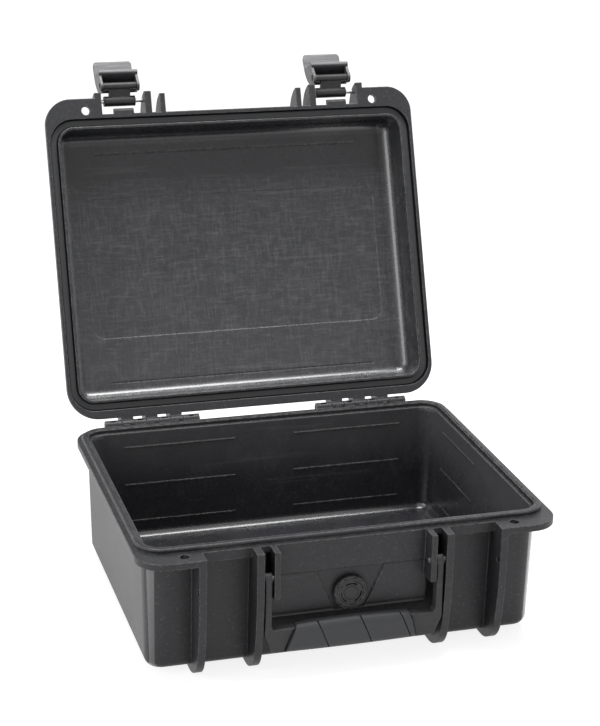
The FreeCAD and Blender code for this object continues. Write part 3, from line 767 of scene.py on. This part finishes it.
@dataclass(frozen=True)
class PinSteel:
    """Drawn stainless rod with faint turning lines."""

    name: str
    tone: Triple = (0.56, 0.56, 0.57)
    stain: Triple = (0.30, 0.29, 0.28)
    rough: float = 0.26
    depth: float = 0.00002
    drawing: Pattern = Pattern(160.0, 4.0, 0.7, stretch=(0.04, 6.0, 6.0))
    spotting: Pattern = Pattern(300.0, 4.0, 0.65, step=(0.55, 0.75))
    level: float = 0.8
    lines: float = 0.35
    spots: float = 0.35
    line_gloss: float = 0.16
    spot_gloss: float = 0.15

    def build(self) -> bpy.types.Material:
        """Make the material.

        Returns:
            The finished material.
        """
        mat = Finisher(self.name)
        drawn = self.drawing.on(mat)
        spots = self.spotting.on(mat)
        tone = mat.shade(self.tone, self.level + self.lines * drawn)
        colour = mat.mix(self.spots * spots, tone, self.stain)
        rough = self.rough + self.line_gloss * drawn + self.spot_gloss * spots
        return mat.finish(colour, rough, drawn, self.depth, Metallic=1.0)


@dataclass(frozen=True)
class PorousFilm:
    """Pale breathable film behind the valve's cap."""

    name: str
    tone: Triple = (0.42, 0.42, 0.41)
    stain: Triple = (0.2, 0.2, 0.19)
    rough: float = 0.8
    depth: float = 0.00003
    fibres: Pattern = Pattern(2500.0, 4.0, 0.7)
    staining: Pattern = Pattern(400.0, 3.0, 0.6, step=(0.5, 0.7))
    level: float = 0.8
    webbing: float = 0.4
    spots: float = 0.4
    web_gloss: float = 0.1

    def build(self) -> bpy.types.Material:
        """Make the material.

        Returns:
            The finished material.
        """
        mat = Finisher(self.name)
        web = self.fibres.on(mat)
        tone = mat.shade(self.tone, self.level + self.webbing * web)
        colour = mat.mix(self.spots * self.staining.on(mat), tone, self.stain)
        return mat.finish(colour, self.rough + self.web_gloss * web.centred(), web, self.depth)


def dress(nodes: Nodes, names: Sequence[str], material: bpy.types.Material) -> None:
    """Give nodes a material in place of their plain one.

    Args:
        nodes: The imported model's nodes.
        names: The nodes to dress.
        material: The finish.
    """
    for name in names:
        mesh = nodes[name].data
        mesh.materials.clear()
        mesh.materials.append(material)
        log.info("%s: %s", name, material.name)


@dataclass
class Shells:
    """Base and lid mouldings with the gasket between them."""

    sizes: CaseSizes
    base: MouldedPlastic = MouldedPlastic("base moulding", region=Region.BASE)
    lid: MouldedPlastic = MouldedPlastic("lid moulding", region=Region.LID, scuffs=0.42)
    seal: SoftRubber = SoftRubber("gasket rubber", tone=(0.040, 0.041, 0.044), rough=0.5)

    def build(self, nodes: Nodes) -> None:
        """Dress the shells and the seals.

        Args:
            nodes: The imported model's nodes.
        """
        dress(nodes, ["base_shell"], self.base.build(self.sizes))
        dress(nodes, ["lid_shell"], self.lid.build(self.sizes))
        dress(nodes, ["lid_gasket", "valve_seal"], self.seal.build())


@dataclass
class Latches:
    """Two draw latches: link on the lid, lever on the link."""

    sizes: CaseSizes
    lever: MouldedPlastic = MouldedPlastic("latch lever moulding", tone=(0.040, 0.040, 0.044), rough=0.38,
                                           worn_and_lit=(0.225, 0.225, 0.232), scuffs=0.8,
                                           facing_wear_and_light=FacingWearAndLight(0.9))
    link: MouldedPlastic = MouldedPlastic("latch link moulding", tone=(0.030, 0.030, 0.032), rough=0.40)
    steel: PinSteel = PinSteel("pin steel")

    def build(self, nodes: Nodes) -> None:
        """Dress the latches and every pin.

        Args:
            nodes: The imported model's nodes.
        """
        dress(nodes, ["latch_lever_right", "latch_lever_left"], self.lever.build(self.sizes))
        dress(nodes, ["latch_link_right", "latch_link_left"], self.link.build(self.sizes))
        kinds = ("hinge", "latch", "handle")
        pins = [f"{kind}_pin_{side}" for kind in kinds for side in ("right", "left")]
        dress(nodes, pins, self.steel.build())


@dataclass
class CarryHandle:
    """Moulded bail with its rubber grip."""

    sizes: CaseSizes
    bail: MouldedPlastic = MouldedPlastic("handle moulding", tone=(0.040, 0.040, 0.043), rough=0.42,
                                          facing_wear_and_light=FacingWearAndLight(0.4))
    sleeve: SoftRubber = SoftRubber("grip rubber", rough=0.5, rounding=0.0026)

    def build(self, nodes: Nodes) -> None:
        """Dress the handle.

        Args:
            nodes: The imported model's nodes.
        """
        dress(nodes, ["handle_frame"], self.bail.build(self.sizes))
        dress(nodes, ["handle_grip"], self.sleeve.build())


@dataclass
class PressureValve:
    """Screw-in valve: ring, slotted cap, film and nut."""

    sizes: CaseSizes
    tone: Triple = (0.034, 0.034, 0.037)
    rim: RingLine = RingLine(height=0.0708, radius=0.0143, width=0.0005)
    middle: RingLine = RingLine(height=0.0708, radius=0.0066, width=0.0006)
    film: PorousFilm = PorousFilm("valve film")

    def moulding(self, name: str, ring: RingLine) -> bpy.types.Material:
        """Plastic of the valve with one moulded circle.

        Args:
            name: The material's name.
            ring: The circle.

        Returns:
            The finished material.
        """
        return MouldedPlastic(name, tone=self.tone, rough=0.45, scuffs=0.2, ring=ring).build(self.sizes)

    def build(self, nodes: Nodes) -> None:
        """Dress the valve.

        Args:
            nodes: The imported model's nodes.
        """
        dress(nodes, ["valve_body", "valve_nut"], self.moulding("valve moulding", self.rim))
        dress(nodes, ["valve_cap"], self.moulding("valve cap moulding", self.middle))
        dress(nodes, ["valve_membrane"], self.film.build())


@dataclass(frozen=True)
class Lamp:
    """A rectangular soft lamp."""

    name: str
    place: Triple
    aim: Triple
    size: Span
    watts: float

    def hang(self) -> None:
        """Put the lamp in the scene, turned to its aim."""
        data = bpy.data.lights.new(self.name, "AREA")
        data.shape = "RECTANGLE"
        data.size, data.size_y = self.size
        data.energy = self.watts
        lamp = bpy.data.objects.new(self.name, data)
        lamp.location = self.place
        lamp.rotation_mode = "QUATERNION"
        lamp.rotation_quaternion = (Vector(self.aim) - Vector(self.place)).to_track_quat("-Z", "Y")
        bpy.context.scene.collection.objects.link(lamp)


@dataclass
class Studio:
    """Pale floor, soft lamps and a white surround."""

    floor_size: float = 14.0
    floor_tone: Triple = (0.45, 0.45, 0.45)
    floor_white: Triple = (0.84, 0.84, 0.84)
    floor_rough: float = 0.9
    floor_depth: float = 0.0001
    floor_grain: Pattern = Pattern(3.0, 2.0)
    floor_level: float = 0.99
    floor_change: float = 0.02
    surround: float = 0.30
    lamps: tuple[Lamp, ...] = (
        Lamp("overhead soft box", (0.05, 0.22, 1.75), (0.0, 0.08, 0.1), (1.2, 0.6), 30.0),
        Lamp("left strip box", (-1.7, -0.40, 0.80), (0.0, 0.08, 0.2), (1.10, 1.3), 11.0),
        Lamp("front fill", (0.3, -2.4, 0.85), (0.0, 0.0, 0.12), (1.4, 0.6), 2.5),
    )

    def floor(self) -> None:
        """Lay the floor, white to the camera and still shaded by the object."""
        made = bmesh.new()
        bmesh.ops.create_grid(made, x_segments=1, y_segments=1, size=self.floor_size / 2)
        mesh = bpy.data.meshes.new("studio_floor")
        made.to_mesh(mesh)
        made.free()
        plate = bpy.data.objects.new("studio_floor", mesh)
        bpy.context.scene.collection.objects.link(plate)
        mat = Finisher("studio floor")
        grain = self.floor_grain.on(mat)
        tone = mat.shade(self.floor_tone, self.floor_level + self.floor_change * grain)
        mesh.materials.append(mat.finish(tone, self.floor_rough, grain, self.floor_depth))
        mat.shader.inputs["Emission Strength"].default_value = 1.0
        mat.feed(mat.shader.inputs["Emission Color"], mat.shade(self.floor_white, mat.white_rays()))

    def sky(self) -> None:
        """Set the surround: a plain level as light, white as background."""
        world = bpy.data.worlds.new("white surround")
        world.use_nodes = True
        board = NodeBoard(world.node_tree)
        inputs = world.node_tree.nodes["Background"].inputs
        inputs["Color"].default_value = (1.0, 1.0, 1.0, 1.0)
        board.feed(inputs["Strength"], self.surround + (1.0 - self.surround) * board.white_rays())
        bpy.context.scene.world = world

    def build(self) -> None:
        """Make the whole studio."""
        self.floor()
        for lamp in self.lamps:
            lamp.hang()
        self.sky()
        log.info("studio: floor and %d lamps", len(self.lamps))


@dataclass
class PhotoCamera:
    """Camera at the photograph's place; angles in degrees, lens and sensor in millimetres."""

    place: Triple = (-0.5115, -1.66115, 0.8602)
    yaw: float = -16.88
    pitch: float = 19.62
    roll: float = 1.21
    lens: float = 95.89
    sensor: float = 36.0
    sight: float = 60.0

    def build(self) -> None:
        """Set the scene's camera."""
        yaw, pitch, roll = (math.radians(angle) for angle in (self.yaw, self.pitch, self.roll))
        right = Vector((math.cos(yaw), math.sin(yaw), 0.0))
        level = Vector((-math.sin(yaw), math.cos(yaw), 0.0))
        ahead = level * math.cos(pitch) - Vector((0.0, 0.0, math.sin(pitch)))
        up = right.cross(ahead)
        across = right * math.cos(roll) + up * math.sin(roll)
        rise = up * math.cos(roll) - right * math.sin(roll)
        data = bpy.data.cameras.new("photo camera")
        data.sensor_fit = "VERTICAL"
        data.sensor_height = self.sensor
        data.lens = self.lens
        data.clip_end = self.sight
        camera = bpy.data.objects.new("photo camera", data)
        turned = Matrix((across, rise, -ahead)).transposed().to_4x4()
        camera.matrix_world = Matrix.Translation(self.place) @ turned
        bpy.context.scene.collection.objects.link(camera)
        bpy.context.scene.camera = camera
        log.info("camera: %.1f mm lens", self.lens)


def main() -> None:
    """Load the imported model, dress every piece and set the studio."""
    logging.basicConfig(level=logging.INFO, format="%(message)s")
    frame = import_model()
    sizes = CaseSizes()
    for assembly in (Shells(sizes), Latches(sizes), CarryHandle(sizes), PressureValve(sizes)):
        assembly.build(frame["nodes"])
    Studio().build()
    PhotoCamera().build()
    bpy.context.scene.view_settings.view_transform = "Standard"


if __name__ == "__main__":
    main()
